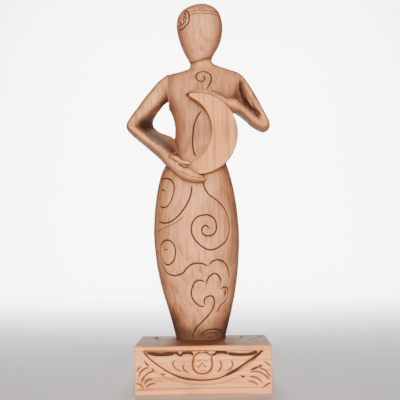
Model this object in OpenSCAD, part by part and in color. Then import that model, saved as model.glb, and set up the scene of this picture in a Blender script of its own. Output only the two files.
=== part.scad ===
// Carved wooden figure of a woman who holds a crescent moon, standing on a carved block.
// Millimetres, +Z up, the front looks towards -Y. The origin is the centre of the block's underside.

/* [Block] */
// Width of the block, left to right
plinth_w = 100; // [85:1:125]
// Depth of the block, front to back
plinth_d = 64; // [60:1:80]
// Height of the block
plinth_h = 35; // [28:1:44]
// Flat cut along the block's long top and bottom edges
plinth_edge = 0.8; // [0.4:0.1:2]
// Width of the carved leaf panel on the front of the block
panel_w = 86; // [70:1:96]
// Drop of the panel's round lower edge below its straight top
panel_drop = 20; // [14:1:22]
// Height of plain wood between the panel and the block's top
panel_rim = 4; // [3:0.5:6]
// Depth of the sunk panel
panel_sunk = 2; // [1:0.5:4]
// Width of the raised bud in the middle of the panel
bud_w = 13; // [9:0.5:15]
// Height of the raised bud
bud_h = 15; // [13.5:0.5:16]
// Gap between the bud and the panel's straight top
bud_drop = 1.2; // [0.6:0.1:2]

/* [Figure] */
// Height of the figure from the block to the crown of the head
figure_h = 268; // [223:0.2:322]
// Depth of the figure at the hips, front to back
figure_d = 48.5; // [40:0.5:58]
// Width of the skirt where it stands on the block
foot_w = 39.6; // [32:0.2:48]
// Width of the skirt at its fullest
skirt_w = 68.6; // [57:0.2:80]
// Width of the waist
waist_w = 36.8; // [31:0.2:44]
// Width of the chest blank at the shoulders, before the arms are fitted
chest_w = 72; // [62:0.5:86]
// Width of the neck
neck_w = 17.2; // [14:0.2:21]
// Width of the head
head_w = 38.2; // [32:0.2:46]

/* [Arms] */
// Width from elbow to elbow
span_w = 116.5; // [97:0.1:140]
// Distance from the middle to the flat joint of the right arm
right_joint_x = 25; // [22:0.5:29]
// Distance from the middle to the flat joint of the left arm
left_joint_x = 31; // [27:0.5:35]

/* [Moon] */
// Radius of the moon's outer edge
moon_r = 31; // [26:0.1:37.5]
// Radius of the moon's hollow edge
hollow_r = 27.6; // [23:0.2:33]
// Distance from the moon's centre to the centre of its hollow edge
hollow_off = 16.4; // [13:0.2:20]
// Thickness of the moon board
moon_t = 8; // [6:0.5:10]

/* [Joinery] */
// Diameter of the two dowels that locate the figure on the block
foot_dowel_d = 6; // [5:0.5:8]
// Length of those dowels
foot_dowel_l = 24; // [20:1:30]
// Distance between those dowels
foot_dowel_gap = 22; // [18:0.5:26]
// Diameter of the dowel in each shoulder
arm_dowel_d = 5; // [4:0.5:6]
// Length of the dowel in each shoulder
arm_dowel_l = 16; // [12:1:20]
// Diameter of the pins that hold the moon to the hands
pin_d = 2.4; // [2:0.1:3]
// Length of the pins that hold the moon
pin_l = 8; // [6:0.5:10]
// Diameter of the screw's shank
screw_d = 4; // [3.5:0.1:5]
// Diameter of the screw's head
screw_head_d = 8; // [7:0.1:10]
// Length of the screw, head included
screw_l = 50; // [42:1:60]
// Depth of the screw's head below the underside
screw_deep = 3; // [2:0.5:6]
// Gap left on every side of a dowel, pin, screw or moon for glue
glue_gap = 0.1; // [0.05:0.05:0.2]

/* [Hidden] */
$fn = 64;
wood = "peru";
pale_wood = "burlywood";
dark_wood = "sienna";

// The outlines below are drawn for a figure of these sizes, and stretch to the sizes above
drawn_h = 268;
drawn_d = 48.5;
drawn_span = 116.5;
tall = figure_h / drawn_h;
deep = figure_d / drawn_d;
wide = span_w / drawn_span;

// Points round each section, and steps between two drawn sections
round_n = 28;
steps = 2;
// Above 2, a section is squarer than an ellipse
squareness = 2.25;
// Longer than any piece, for a cut that goes all the way
far = 400;

// Place of the moon: its centre above the block, and its front face
moon_x = -2.3;
moon_up = 156.7 * tall;
moon_front = -26 * deep;
hollow_turn = 170.5;
moon_back = moon_front + moon_t;
// The horns are cut off blunt at these distances left of the moon's centre
upper_horn = 5.5;
lower_horn = 14;

// Middle of the skirt's foot, where the dowels and the screw stand
foot_x = -2;
foot_y = 16 * deep;

// Middle of each shoulder joint
shoulder_y = 10 * deep;
right_shoulder_up = 199 * tall;
left_shoulder_up = 200 * tall;
// The flat shoulder joints start above this height
joint_up = 178 * tall;

function mix(a, b, t) = a + (b - a) * t;
function spline(a, b, c, d, t) =
    0.5 * (2 * b + (c - a) * t + (2 * a - 5 * b + 4 * c - d) * t * t + (3 * b - a - 3 * c + d) * t * t * t);
function filled(rows) = let (last = len(rows) - 1) [
    for (i = [0:last - 1], s = [0:steps - 1])
        spline(rows[max(i - 1, 0)], rows[i], rows[i + 1], rows[min(i + 2, last)], s / steps),
    rows[last]
];
function bulge(v) = sign(v) * pow(abs(v), 2 / squareness);
function middle(ring) = [for (k = [0:2]) [for (p = ring) p[k]] * [for (p = ring) 1] / len(ring)];

// A closed skin over rings of points; each ring runs the same way round
module skin(rings) {
    n = len(rings[0]);
    last = len(rings) - 1;
    ends = [middle(rings[0]), middle(rings[last])];
    points = [for (r = rings) each r, each ends];
    first_hub = n * (last + 1);
    sides = [for (i = [0:last - 1], j = [0:n - 1])
        let (a = i * n + j, b = i * n + (j + 1) % n)
        each [[a, a + n, b + n], [a, b + n, b]]];
    caps = [for (j = [0:n - 1])
        let (k = (j + 1) % n)
        each [[first_hub, j, k], [first_hub + 1, last * n + k, last * n + j]]];
    polyhedron(points = points, faces = [each sides, each caps], convexity = 6);
}

// Sections of the figure: height, middle, half width, depth place, front half, back half
body_rows = [
    [0, -2, foot_w / 2, 20, 20, 11],
    [16, -2, mix(foot_w, skirt_w, 0.28) / 2, 19.5, 23.5, 12],
    [35, -2.6, mix(foot_w, skirt_w, 0.63) / 2, 18, 27, 13.5],
    [55, -3.5, mix(foot_w, skirt_w, 0.87) / 2, 16, 29.5, 15.5],
    [75, -4, skirt_w / 2, 14.5, 31, 17],
    [92, -4.2, mix(skirt_w, waist_w, 0.02) / 2, 14, 31, 17.5],
    [111, -4.4, mix(skirt_w, waist_w, 0.14) / 2, 14, 29.5, 17.5],
    [130, -4.3, mix(skirt_w, waist_w, 0.41) / 2, 13, 27, 18],
    [148, -2.8, mix(skirt_w, waist_w, 0.87) / 2, 12.5, 21, 16],
    [167, -1.8, waist_w / 2, 12, 17.5, 14],
    [183, -0.5, mix(waist_w, chest_w, 0.33) / 2, 11.5, 18, 15],
    [197, 2, chest_w / 2, 11, 17, 14],
    [207, 3, chest_w * 0.485, 10.5, 13, 11.5],
    [211, 5, mix(chest_w, neck_w, 0.27) / 2, 10, 10.5, 10.5],
    [214.5, 7, mix(chest_w, neck_w, 0.72) / 2, 10, 9, 10],
    [219.5, 1.4, neck_w * 0.52, 10, 8.5, 9.5],
    [226, 0.4, mix(neck_w, head_w, 0.28) / 2, 9.5, 12, 10],
    [236, 1, mix(neck_w, head_w, 0.74) / 2, 9, 17.5, 15.5],
    [249, 0.9, head_w / 2, 9, 19.5, 19.5],
    [258, 0.6, head_w * 0.46, 9, 18, 19],
    [263.5, 1.6, head_w * 0.35, 9, 13.5, 14.5],
    [267, 2.4, head_w * 0.18, 9, 7, 7.5],
    [268, 2.8, head_w * 0.05, 9, 2, 2]
];
function body_ring(r) = [for (j = [0:round_n - 1])
    let (c = bulge(cos(360 * j / round_n)), s = bulge(sin(360 * j / round_n)))
    [r[1] + r[2] * c, (r[3] + (s < 0 ? r[4] : r[5]) * s) * deep, plinth_h + r[0] * tall]];

// Sections of an arm: outer edge x and height, inner edge at the front, inner edge at the back,
// front depth, back depth
right_arm_rows = [
    [-right_joint_x, 211.5, -right_joint_x, 190, -right_joint_x, 188.5, -1, 21],
    [-33, 204.5, -27.5, 184, -29.5, 187.5, -5, 21],
    [-42, 194, -32, 178.5, -33, 182.5, -6, 21],
    [-50, 183, -38.5, 173, -34.5, 178.3, -7, 21],
    [-57, 173, -46.5, 169, -33.6, 174.4, -8, 20],
    [-59, 167.5, -49, 167, -33, 172.3, -9, 20],
    [-56.5, 163, -47.5, 165.5, -32.4, 170.5, -10, 20],
    [-49, 156.2, -41, 160.5, -30.2, 167.3, -12, 19],
    [-40.3, 148.4, -33, 154.5, -25, 166, -15, 18],
    [-33, 141.5, -26.5, 149, -17, 162, -19, 12],
    [-27.5, 134.8, -21, 143.5, -15, 148, -23, -2]
];
left_arm_rows = [
    [left_joint_x, 212, left_joint_x, 199, left_joint_x, 196, -1, 20],
    [37, 205, 33, 194.5, 33, 193, -5, 20],
    [43.5, 194, 36, 187, 36, 187, -6, 20],
    [49.5, 181.5, 41, 179.5, 41, 179.5, -8, 19],
    [54.3, 171, 45.5, 175.5, 45.5, 175.5, -9, 18],
    [55.5, 165.5, 46, 174, 46, 174, -9, 17],
    [51.5, 161.5, 45, 173, 45, 173, -10, 16],
    [45, 163, 41.5, 176.5, 41.5, 176.5, -13, 14],
    [38, 167.5, 35, 181.5, 35, 181.5, -16, 10],
    [31, 174, 27.5, 186.5, 27.5, 186.5, -20, 2]
];
// Sections of a hand follow the moon's rim: angle, how far the outer edge of the arm comes past
// the rim, how far the inner edge stays behind it at the front and at the back, front depth, back depth
right_hand_rows = [
    [236, 2.6, 8, 8, -27, -10],
    [249, 4.8, 7.5, 7.5, -28, -11],
    [260, 5.8, 5.5, 5.5, -28, -12],
    [271, 6.2, 2, 2, -27.5, -12],
    [280, 5.5, -2.5, -2.5, -26, -14]
];
left_hand_rows = [
    [50, -7, -6.2, -6.2, -24, -7],
    [65, -7, -6.4, -6.4, -24, -7],
    [80, -5, -6, -6, -24, -8],
    [91, -2, -4.6, -4.6, -24, -9],
    [100, 0.5, -3, -3, -24, -10],
    [106, 0.2, -1.2, -1.2, -23, -12]
];
thumb_rows = [
    [219, -3, 10, 10, -28, -18],
    [229, -4.5, 10, 10, -30, -22],
    [241, -5.8, 10, 10, -30.5, -25],
    [253, -6, 9.5, 9.5, -30.5, -25.5],
    [260, -6.6, 8.4, 8.4, -29.5, -25.5]
];

function arm_row(r) = [r[0] * wide, r[1] * tall, r[2] * wide, r[3] * tall, r[4] * wide, r[5] * tall,
                       r[6] * deep, r[7] * deep];
function on_moon(angle, r) = [moon_x + r * cos(angle), moon_up + r * sin(angle)];
function hand_row(r) = let (
        outer = on_moon(r[0], moon_r + r[1]),
        front = on_moon(r[0], moon_r - r[2]),
        back = on_moon(r[0], moon_r - r[3]))
    [each outer, each front, each back, r[4] * deep, r[5] * deep];
function limb_ring(r, way) = [for (j = [0:round_n - 1])
    let (t = way * 360 * j / round_n, across = (1 + bulge(cos(t))) / 2, back = (1 + bulge(sin(t))) / 2,
         inner = mix([r[2], r[3]], [r[4], r[5]], back), p = mix([r[0], r[1]], inner, across))
    [p[0], mix(r[6], r[7], back), plinth_h + p[1]]];
module limb(rows, way) {
    skin([for (r = filled(rows)) limb_ring(r, way)]);
}

// The arms and the moon meet the figure's own outline, so this blank is cut out of each arm
module figure_blank() {
    difference() {
        skin([for (r = filled(body_rows)) body_ring(r)]);
        translate([-right_joint_x * wide - far, -far / 2, plinth_h + joint_up])
            cube(far);
        translate([left_joint_x * wide, -far / 2, plinth_h + joint_up])
            cube(far);
    }
}

module along_x(x, y, z, r, h) {
    translate([x, y, z]) rotate([0, 90, 0]) cylinder(r = r, h = h, center = true);
}
module along_y(x, y, z, r, h) {
    translate([x, y, z]) rotate([90, 0, 0]) cylinder(r = r, h = h, center = true);
}

// gap grows the crescent on every side, to cut the seats in the hands
module crescent(gap) {
    middle_y = moon_front + moon_t / 2;
    thick = moon_t + 2 * gap;
    hollow = [moon_x + hollow_off * cos(hollow_turn), moon_up + hollow_off * sin(hollow_turn)];
    difference() {
        along_y(moon_x, middle_y, plinth_h + moon_up, moon_r + gap, thick);
        along_y(hollow[0], middle_y, plinth_h + hollow[1], hollow_r - gap, thick + 1);
        translate([moon_x - upper_horn - gap - far, -far / 2, plinth_h + moon_up])
            cube(far);
        translate([moon_x - lower_horn - gap - far, -far / 2, plinth_h + moon_up - far])
            cube(far);
    }
}

// Middle of each moon pin: angle on the moon, and how far in from the rim
upper_pin = on_moon(62, moon_r - 6.5);
lower_pin = on_moon(258, moon_r - 5);
// Both pins sit a little forward of the moon's back, clear of the belly behind
pin_forward = 1;
module moon_pin(at, gap) {
    along_y(at[0], moon_back - pin_forward, plinth_h + at[1], pin_d / 2 + gap, pin_l + 2 * gap);
}
module shoulder_dowel(x, up, gap) {
    along_x(x, shoulder_y, plinth_h + up, arm_dowel_d / 2 + gap, arm_dowel_l + 2 * gap);
}
module right_dowel(gap) {
    shoulder_dowel(-right_joint_x * wide, right_shoulder_up, gap);
}
module left_dowel(gap) {
    shoulder_dowel(left_joint_x * wide, left_shoulder_up, gap);
}
module foot_dowel_pair(gap) {
    for (side = [-1, 1])
        translate([foot_x + side * foot_dowel_gap / 2, foot_y, plinth_h])
            cylinder(r = foot_dowel_d / 2 + gap, h = foot_dowel_l + 2 * gap, center = true);
}
module screw_form(gap, sunk) {
    head_h = (screw_head_d - screw_d) / 2;
    translate([foot_x, foot_y, 0]) {
        translate([0, 0, screw_deep]) {
            cylinder(r1 = screw_head_d / 2 + gap, r2 = screw_d / 2 + gap, h = head_h);
            cylinder(r = screw_d / 2 + gap, h = screw_l + gap);
        }
        if (sunk)
            translate([0, 0, -1]) cylinder(r = screw_head_d / 2 + gap, h = screw_deep + 1);
    }
}

// The sunk leaf panel: a round lower edge under a straight top
module panel_outline() {
    panel_r = (pow(panel_w / 2, 2) + pow(panel_drop, 2)) / (2 * panel_drop);
    top = plinth_h - panel_rim;
    intersection() {
        translate([0, top - panel_drop + panel_r]) circle(r = panel_r, $fn = 128);
        translate([-panel_w / 2, top - panel_drop - 1]) square([panel_w, panel_drop + 1]);
    }
}
module bud_outline() {
    straight = bud_h - bud_w;
    top = plinth_h - panel_rim - bud_drop - bud_w / 2;
    translate([0, top]) circle(r = bud_w / 2);
    translate([0, top - straight]) {
        circle(r = bud_w / 2);
        translate([-bud_w / 2, 0]) square([bud_w, straight]);
    }
}
module plinth_profile() {
    y = plinth_d / 2;
    e = plinth_edge;
    polygon([[-y + e, 0], [y - e, 0], [y, e], [y, plinth_h - e],
             [y - e, plinth_h], [-y + e, plinth_h], [-y, plinth_h - e], [-y, e]]);
}

module plinth() {
    color(pale_wood) difference() {
        translate([-plinth_w / 2, 0, 0]) rotate([90, 0, 90])
            linear_extrude(plinth_w) plinth_profile();
        translate([0, -plinth_d / 2 + panel_sunk, 0]) rotate([90, 0, 0])
            linear_extrude(panel_sunk + 1) difference() {
                panel_outline();
                bud_outline();
            }
        foot_dowel_pair(glue_gap);
        screw_form(glue_gap, true);
    }
}
module body() {
    color(wood) difference() {
        figure_blank();
        foot_dowel_pair(glue_gap);
        screw_form(glue_gap, false);
        right_dowel(glue_gap);
        left_dowel(glue_gap);
    }
}
module right_arm() {
    color(wood) difference() {
        union() {
            limb([for (r = right_arm_rows) arm_row(r), for (r = right_hand_rows) hand_row(r)], -1);
            limb([for (r = thumb_rows) hand_row(r)], -1);
        }
        figure_blank();
        crescent(glue_gap);
        right_dowel(glue_gap);
        moon_pin(lower_pin, glue_gap);
    }
}
// The web closes the corner between the left upper arm, the forearm and the chest
module left_web() {
    back = 18 * deep;
    web_t = 12 * deep;
    translate([0, back, plinth_h]) rotate([90, 0, 0]) linear_extrude(web_t)
        polygon([for (p = [[31, 206], [46, 178], [49, 167], [38, 172], [26, 181], [24, 196]])
            [p[0] * wide, p[1] * tall]]);
}
module left_arm() {
    color(wood) difference() {
        union() {
            limb([for (r = left_arm_rows) arm_row(r), for (r = left_hand_rows) hand_row(r)], 1);
            left_web();
        }
        figure_blank();
        crescent(glue_gap);
        left_dowel(glue_gap);
        moon_pin(upper_pin, glue_gap);
    }
}
module crescent_moon() {
    color(pale_wood) difference() {
        crescent(0);
        moon_pin(upper_pin, glue_gap);
        moon_pin(lower_pin, glue_gap);
    }
}
module foot_dowels() {
    color(dark_wood) foot_dowel_pair(0);
}
module plinth_screw() {
    color("silver") screw_form(0, false);
}
module right_shoulder_dowel() {
    color(dark_wood) right_dowel(0);
}
module left_shoulder_dowel() {
    color(dark_wood) left_dowel(0);
}
module upper_moon_pin() {
    color(dark_wood) moon_pin(upper_pin, 0);
}
module lower_moon_pin() {
    color(dark_wood) moon_pin(lower_pin, 0);
}

plinth();
body();
right_arm();
left_arm();
crescent_moon();
foot_dowels();
plinth_screw();
right_shoulder_dowel();
left_shoulder_dowel();
upper_moon_pin();
lower_moon_pin();
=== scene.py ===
# %% [markdown]
# # A carved wooden woman with a crescent moon
# This lesson dresses an exact CAD model of a shelf figure. The real one is cut from soft,
# open-grained wood: a figure on an oblong block, with arms added at the shoulders and a
# thin crescent board in the hands. The CAD model gives the true sizes. Here each wooden
# part gets a carver's surface: eased edges, cut scrolls and grain.

# %% Load the CAD frame
import math
import bmesh
import bpy
from mathutils import Matrix, Vector, noise
from mathutils.bvhtree import BVHTree
from mathutils.kdtree import KDTree


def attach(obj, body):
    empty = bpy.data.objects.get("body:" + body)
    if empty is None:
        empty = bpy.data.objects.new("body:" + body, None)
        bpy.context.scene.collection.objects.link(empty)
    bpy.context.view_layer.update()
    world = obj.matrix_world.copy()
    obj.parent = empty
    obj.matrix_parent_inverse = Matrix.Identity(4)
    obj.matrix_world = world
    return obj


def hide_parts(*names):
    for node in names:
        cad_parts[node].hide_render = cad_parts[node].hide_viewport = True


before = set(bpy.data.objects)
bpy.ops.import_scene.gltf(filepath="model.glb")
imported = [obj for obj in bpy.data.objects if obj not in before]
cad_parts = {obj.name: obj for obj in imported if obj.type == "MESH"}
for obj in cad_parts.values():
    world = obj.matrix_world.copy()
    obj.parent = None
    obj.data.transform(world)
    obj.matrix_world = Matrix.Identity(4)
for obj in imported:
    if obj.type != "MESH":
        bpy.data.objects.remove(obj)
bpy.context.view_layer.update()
print("CAD parts:", ", ".join(sorted(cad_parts)))

# %% [markdown]
# ## Helpers for material nodes
# A material is a small graph of nodes. One helper adds any kind of node, sets its options
# and plugs its inputs, and four more name the steps that come back often, so that the
# recipes below read like lists. Colours are chosen as the hex values a screen shows, and
# turned to the linear values that light adds up in.

# %% Node and colour helpers
def linear(hex_colour):
    """The linear RGBA of an sRGB colour written as rrggbb."""
    parts = [int(hex_colour[i:i + 2], 16) / 255 for i in (0, 2, 4)]
    flat = [c / 12.92 if c <= 0.04045 else ((c + 0.055) / 1.055) ** 2.4 for c in parts]
    return (*flat, 1.0)


def add(tree, kind, plugs=None, **options):
    """Adds a node. plugs maps an input's name or number to a value or to another node's output."""
    made = tree.nodes.new(kind)
    for option, value in options.items():
        setattr(made, option, value)
    for key, value in (plugs or {}).items():
        if isinstance(value, bpy.types.NodeSocket):
            tree.links.new(value, made.inputs[key])
        else:
            made.inputs[key].default_value = value
    return made


def blend(tree, amount, under, over):
    """A colour that goes from under, at amount 0, to over, at amount 1."""
    # a Mix node has its colours on inputs 6 and 7 and gives the result on output 2
    return add(tree, "ShaderNodeMix", {0: amount, 6: under, 7: over}, data_type="RGBA").outputs[2]


def ranged(tree, value, low, high, start, end):
    """Turns low..high into start..end, and stops at both."""
    plugs = {"Value": value, "From Min": low, "From Max": high, "To Min": start, "To Max": end}
    return add(tree, "ShaderNodeMapRange", plugs).outputs[0]


def weighted(tree, value, weight, rest):
    """value times weight, plus rest."""
    plugs = {0: value, 1: weight, 2: rest}
    return add(tree, "ShaderNodeMath", plugs, operation="MULTIPLY_ADD").outputs[0]


def stored(tree, name):
    """A number stored on the surface's points under that name."""
    return add(tree, "ShaderNodeAttribute", attribute_name=name).outputs["Fac"]


def new_material(name):
    """A new material, with the node tree and the shader to build on."""
    material = bpy.data.materials.new(name)
    material.use_nodes = True
    tree = material.node_tree
    return material, tree, tree.nodes["Principled BSDF"]


# %% [markdown]
# ## One recipe for four woods
# Wood is a bundle of fibres along the trunk, with a darker ring for each dry season.
# The object's own coordinates are squeezed along the fibres, so that a noise a
# fraction of a millimetre wide is drawn out into streaks. Rings are a wave around the
# heart of the log. Three numbers stored on the surface darken this. "carved" says where a
# knife went, and also holds painted shade along creases; "painted_shade" is painted shade
# on skin that turns away from the front and on the chest; "hollow" is brown wax in the
# hollows together with painted shade there.

# %% The wood recipe
def wood(name, pale, mid, dark, cut, along, ring_mm, ring_centre):
    """Waxed soft wood with its fibres along x, y or z, and rings ring_mm apart."""
    material, tree, shader = new_material(name)
    place = add(tree, "ShaderNodeTexCoord").outputs["Object"]
    squeeze = [1.0, 1.0, 1.0]
    squeeze["xyz".index(along)] = 0.03
    fibres_at = add(tree, "ShaderNodeMapping", {"Vector": place, "Scale": squeeze})
    # fibres about 0.7 mm apart, so 1400 of them to the metre
    fibres = add(tree, "ShaderNodeTexNoise",
                 {"Vector": fibres_at.outputs[0], "Scale": 1400.0, "Detail": 3.0, "Roughness": 0.6})
    # streaks about 2 mm apart
    streaks = add(tree, "ShaderNodeTexNoise",
                  {"Vector": fibres_at.outputs[0], "Scale": 450.0, "Detail": 4.0, "Roughness": 0.6})
    # the tone drifts over about 30 mm
    drift = add(tree, "ShaderNodeTexNoise", {"Vector": place, "Scale": 33.0, "Detail": 2.0})
    turn = {"z": (0.0, 0.0, 0.0), "x": (0.0, math.radians(90), 0.0), "y": (math.radians(90), 0.0, 0.0)}
    rings_at = add(tree, "ShaderNodeMapping",
                   {"Vector": place, "Location": ring_centre, "Rotation": turn[along]})
    # a wave's period is 0.314 m at scale 1
    rings = add(tree, "ShaderNodeTexWave",
                {"Vector": rings_at.outputs[0], "Scale": 314.0 / ring_mm, "Distortion": 2.5,
                 "Detail": 2.0, "Detail Scale": 0.6},
                wave_type="RINGS", rings_direction="Z", wave_profile="SAW")
    tone = weighted(tree, streaks.outputs["Fac"], 0.5, 0.06)
    tone = weighted(tree, rings.outputs["Fac"], 0.07, tone)
    tone = weighted(tree, drift.outputs["Fac"], 0.3, tone)
    ramp = add(tree, "ShaderNodeValToRGB", {"Fac": tone})
    ramp.color_ramp.elements[0].position = 0.35
    ramp.color_ramp.elements[0].color = linear(dark)
    ramp.color_ramp.elements[1].position = 0.67
    ramp.color_ramp.elements[1].color = linear(pale)
    ramp.color_ramp.elements.new(0.5).color = linear(mid)
    # the fine pores are short dark flecks
    pores = ranged(tree, fibres.outputs["Fac"], 0.28, 0.46, 0.55, 0.0)
    colour = blend(tree, pores, ramp.outputs["Color"], linear(dark))
    # painted shade: skin that turns away from the front, and the chest, is darkened towards a shaded
    # brown
    painted_shade = ranged(tree, stored(tree, "painted_shade"), 0.03, 0.6, 0.0, 0.75)
    colour = blend(tree, painted_shade, colour, linear("6d4634"))
    # a cut is darker, because its torn fibres drink the wax; the same number also carries painted shade
    # laid along creases
    worked = ranged(tree, stored(tree, "carved"), 0.0, 0.7, 0.0, 1.0)
    colour = blend(tree, worked, colour, linear(cut))
    # brown wax stays in the hollows, and with it painted shade there: the more closed in the skin, the
    # darker
    wax = ranged(tree, stored(tree, "hollow"), 0.1, 0.7, 0.0, 0.88)
    colour = blend(tree, wax, colour, linear("452f27"))
    tree.links.new(colour, shader.inputs["Base Color"])
    # wax lies thicker in some places than others
    sheen = ranged(tree, streaks.outputs["Fac"], 0.3, 0.7, 0.62, 0.8)
    tree.links.new(sheen, shader.inputs["Roughness"])
    # fibres stand proud by less than a tenth of a millimetre
    grain = weighted(tree, streaks.outputs["Fac"], 0.6, fibres.outputs["Fac"])
    bump = add(tree, "ShaderNodeBump", {"Height": grain, "Strength": 0.55, "Distance": 0.0001})
    tree.links.new(bump.outputs[0], shader.inputs["Normal"])
    shader.inputs["IOR"].default_value = 1.5
    # a thin coat of wax over open pores reflects far less than a varnish
    shader.inputs["Specular IOR Level"].default_value = 0.15
    return material


# Carved with knives, sanded smooth and waxed; fibres run up the figure.
FIGURE_WOOD = wood("waxed_figure_wood", "dc9c6d", "bd8259", "80543e", "38221a",
                   "z", 4.0, (0.012, -0.03, 0.0))
# Sawn from a thin board, then sanded flat; fibres run straight up the board.
MOON_WOOD = wood("sanded_moon_board", "de9a66", "c6834f", "915a38", "341c12",
                 "z", 2.6, (0.02, -0.09, 0.0))
# Sawn from a paler plank, sanded and waxed; its fibres run across the block.
PLINTH_WOOD = wood("waxed_plinth_wood", "eca873", "d28e5b", "9c623a", "3e2417",
                   "x", 5.0, (0.0, 0.02, 0.03))
# Turned rods bought ready-made, left bare.
DOWEL_WOOD = wood("bare_dowel_rod", "e2bd94", "d0a47b", "a97a55", "3f1f10",
                  "z", 1.5, (0.0, 0.0, 0.0))
print("Woods:", FIGURE_WOOD.name, MOON_WOOD.name, PLINTH_WOOD.name, DOWEL_WOOD.name)

# %% [markdown]
# ## The hidden screw
# It is a plain zinc-plated steel screw, driven up through the block. Zinc is a metal, so
# its colour sits in the reflection. The cold-forged head keeps fine marks that blur the
# reflection.

# %% Zinc-plated steel
SCREW_STEEL, tree, shader = new_material("zinc_plated_steel")
place = add(tree, "ShaderNodeTexCoord").outputs["Object"]
# handling marks about 2 mm apart
marks = add(tree, "ShaderNodeTexNoise", {"Vector": place, "Scale": 500.0, "Detail": 4.0})
tint = add(tree, "ShaderNodeValToRGB", {"Fac": marks.outputs["Fac"]})
tint.color_ramp.elements[0].color = linear("9a9c9d")
tint.color_ramp.elements[1].color = linear("c9cbcb")
blur = ranged(tree, marks.outputs["Fac"], 0.0, 1.0, 0.3, 0.48)
tree.links.new(tint.outputs["Color"], shader.inputs["Base Color"])
tree.links.new(blur, shader.inputs["Roughness"])
shader.inputs["Metallic"].default_value = 1.0
print("Metal:", SCREW_STEEL.name)

# %% [markdown]
# ## From CAD mesh to clay
# The copy of each CAD part is handled in millimetres, because a carver's cuts are about
# one millimetre wide. Merging doubled points joins its facets into one skin. A voxel
# remesh then turns long facets into small even ones, and a few rounds of smoothing
# take the corners off, as a scraper does.

# %% Copy, remesh and smooth
MM_PER_METRE = 1000.0


def cad_copy(name):
    """A CAD part's mesh in millimetres, with its doubled points merged."""
    bm = bmesh.new()
    bm.from_mesh(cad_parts[name].data)
    bmesh.ops.scale(bm, vec=[MM_PER_METRE] * 3, verts=bm.verts)
    bmesh.ops.remove_doubles(bm, verts=bm.verts, dist=0.002)
    bmesh.ops.recalc_face_normals(bm, faces=bm.faces)
    return bm


def soften(bm, verts, rounds):
    """Moves each of these points towards the middle of its neighbours, that many times."""
    for _ in range(rounds):
        bmesh.ops.smooth_vert(bm, verts=verts, factor=0.5,
                              use_axis_x=True, use_axis_y=True, use_axis_z=True)


def even_skin(bm, size, rounds):
    """The same form with an even skin of facets that size, smoothed that many times."""
    mesh = bpy.data.meshes.new("clay")
    bm.to_mesh(mesh)
    bm.free()
    clay = bpy.data.objects.new("clay", mesh)
    bpy.context.collection.objects.link(clay)
    voxels = clay.modifiers.new("even skin", "REMESH")
    voxels.mode = "VOXEL"
    voxels.voxel_size = size
    out = bmesh.new()
    out.from_object(clay, bpy.context.evaluated_depsgraph_get())
    bpy.data.objects.remove(clay)
    bpy.data.meshes.remove(mesh)
    soften(out, out.verts, rounds)
    return out


# %% [markdown]
# ## Keeping joints crisp
# Smoothing would round the flat joint faces as well. So each flat face is first pulled
# out by a few millimetres, and after smoothing the extra length is sawn off again. The
# woodworker does the same: shape the blank long, then trim the joint.

# %% Lengthen and saw
def lengthen(bm, axis, at, by):
    """Extrudes the flat face that lies at that place on axis 0, 1 or 2, by that much."""
    flat = [f for f in bm.faces if all(abs(v.co[axis] - at) < 0.03 for v in f.verts)]
    out = bmesh.ops.extrude_face_region(bm, geom=flat)
    moved = [v for v in out["geom"] if isinstance(v, bmesh.types.BMVert)]
    step = Vector((0, 0, 0))
    step[axis] = by
    bmesh.ops.translate(bm, verts=moved, vec=step)
    left = [f for f in flat if f.is_valid]
    if left:
        bmesh.ops.delete(bm, geom=left, context="FACES_ONLY")


def saw(bm, axis, at, side, low=-1e6, high=1e6):
    """Cuts off what lies past that place on an axis and fills the cut. side is +1 or -1.
    Only what lies between low and high, up the figure, is sawn."""
    part = [v for v in bm.verts if low < v.co.z < high]
    inside = set(part)
    edges = [e for e in bm.edges if e.verts[0] in inside and e.verts[1] in inside]
    faces = [f for f in bm.faces if all(v in inside for v in f.verts)]
    point = Vector((0, 0, 0))
    point[axis] = at
    way = Vector((0, 0, 0))
    way[axis] = side
    bmesh.ops.bisect_plane(bm, geom=part + edges + faces, dist=0.0001, plane_co=point,
                           plane_no=way, clear_outer=True)
    rim = [e for e in bm.edges if e.is_boundary]
    bmesh.ops.triangle_fill(bm, edges=rim, use_beauty=True)
    bmesh.ops.recalc_face_normals(bm, faces=bm.faces)


# %% [markdown]
# ## Drawing the cuts
# A carver draws each scroll on the wood before cutting it. Here a line is a few points
# in millimetres as seen from the front, joined by a smooth curve, and dropped onto the
# skin by rays. Every sample remembers how wide, deep and dark its cut is, and tapers
# towards both ends, where the knife enters and leaves.

# %% Lines on the skin
# rays start this many millimetres away, well outside the figure
OUTSIDE = 200.0


def smooth_line(points, gap=0.35):
    """A curve through flat points, sampled about every gap (Catmull-Rom)."""
    ends = [points[0], *points, points[-1]]
    out = []
    for a, b, c, d in zip(ends, ends[1:], ends[2:], ends[3:]):
        steps = max(1, round(math.dist(b, c) / gap))
        for i in range(steps):
            t = i / steps
            out.append(tuple(0.5 * (2 * q + (r - p) * t + (2 * p - 5 * q + 4 * r - s) * t * t
                                    + (3 * q - p - 3 * r + s) * t ** 3)
                             for p, q, r, s in zip(a, b, c, d)))
    out.append(points[-1])
    return out


def tapered(spots, width, depth, dark, ends=2.5):
    """Cut samples (place, half width, depth, darkness) for a line of places on the skin."""
    gone = [0.0]
    for a, b in zip(spots, spots[1:]):
        gone.append(gone[-1] + (b - a).length)
    cuts = []
    for spot, s in zip(spots, gone):
        t = min(1.0, 0.35 + 0.65 * min(s, gone[-1] - s) / ends)
        cuts.append((spot, width * (0.6 + 0.4 * t), depth * t, dark * (0.5 + 0.5 * t)))
    return cuts


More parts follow.
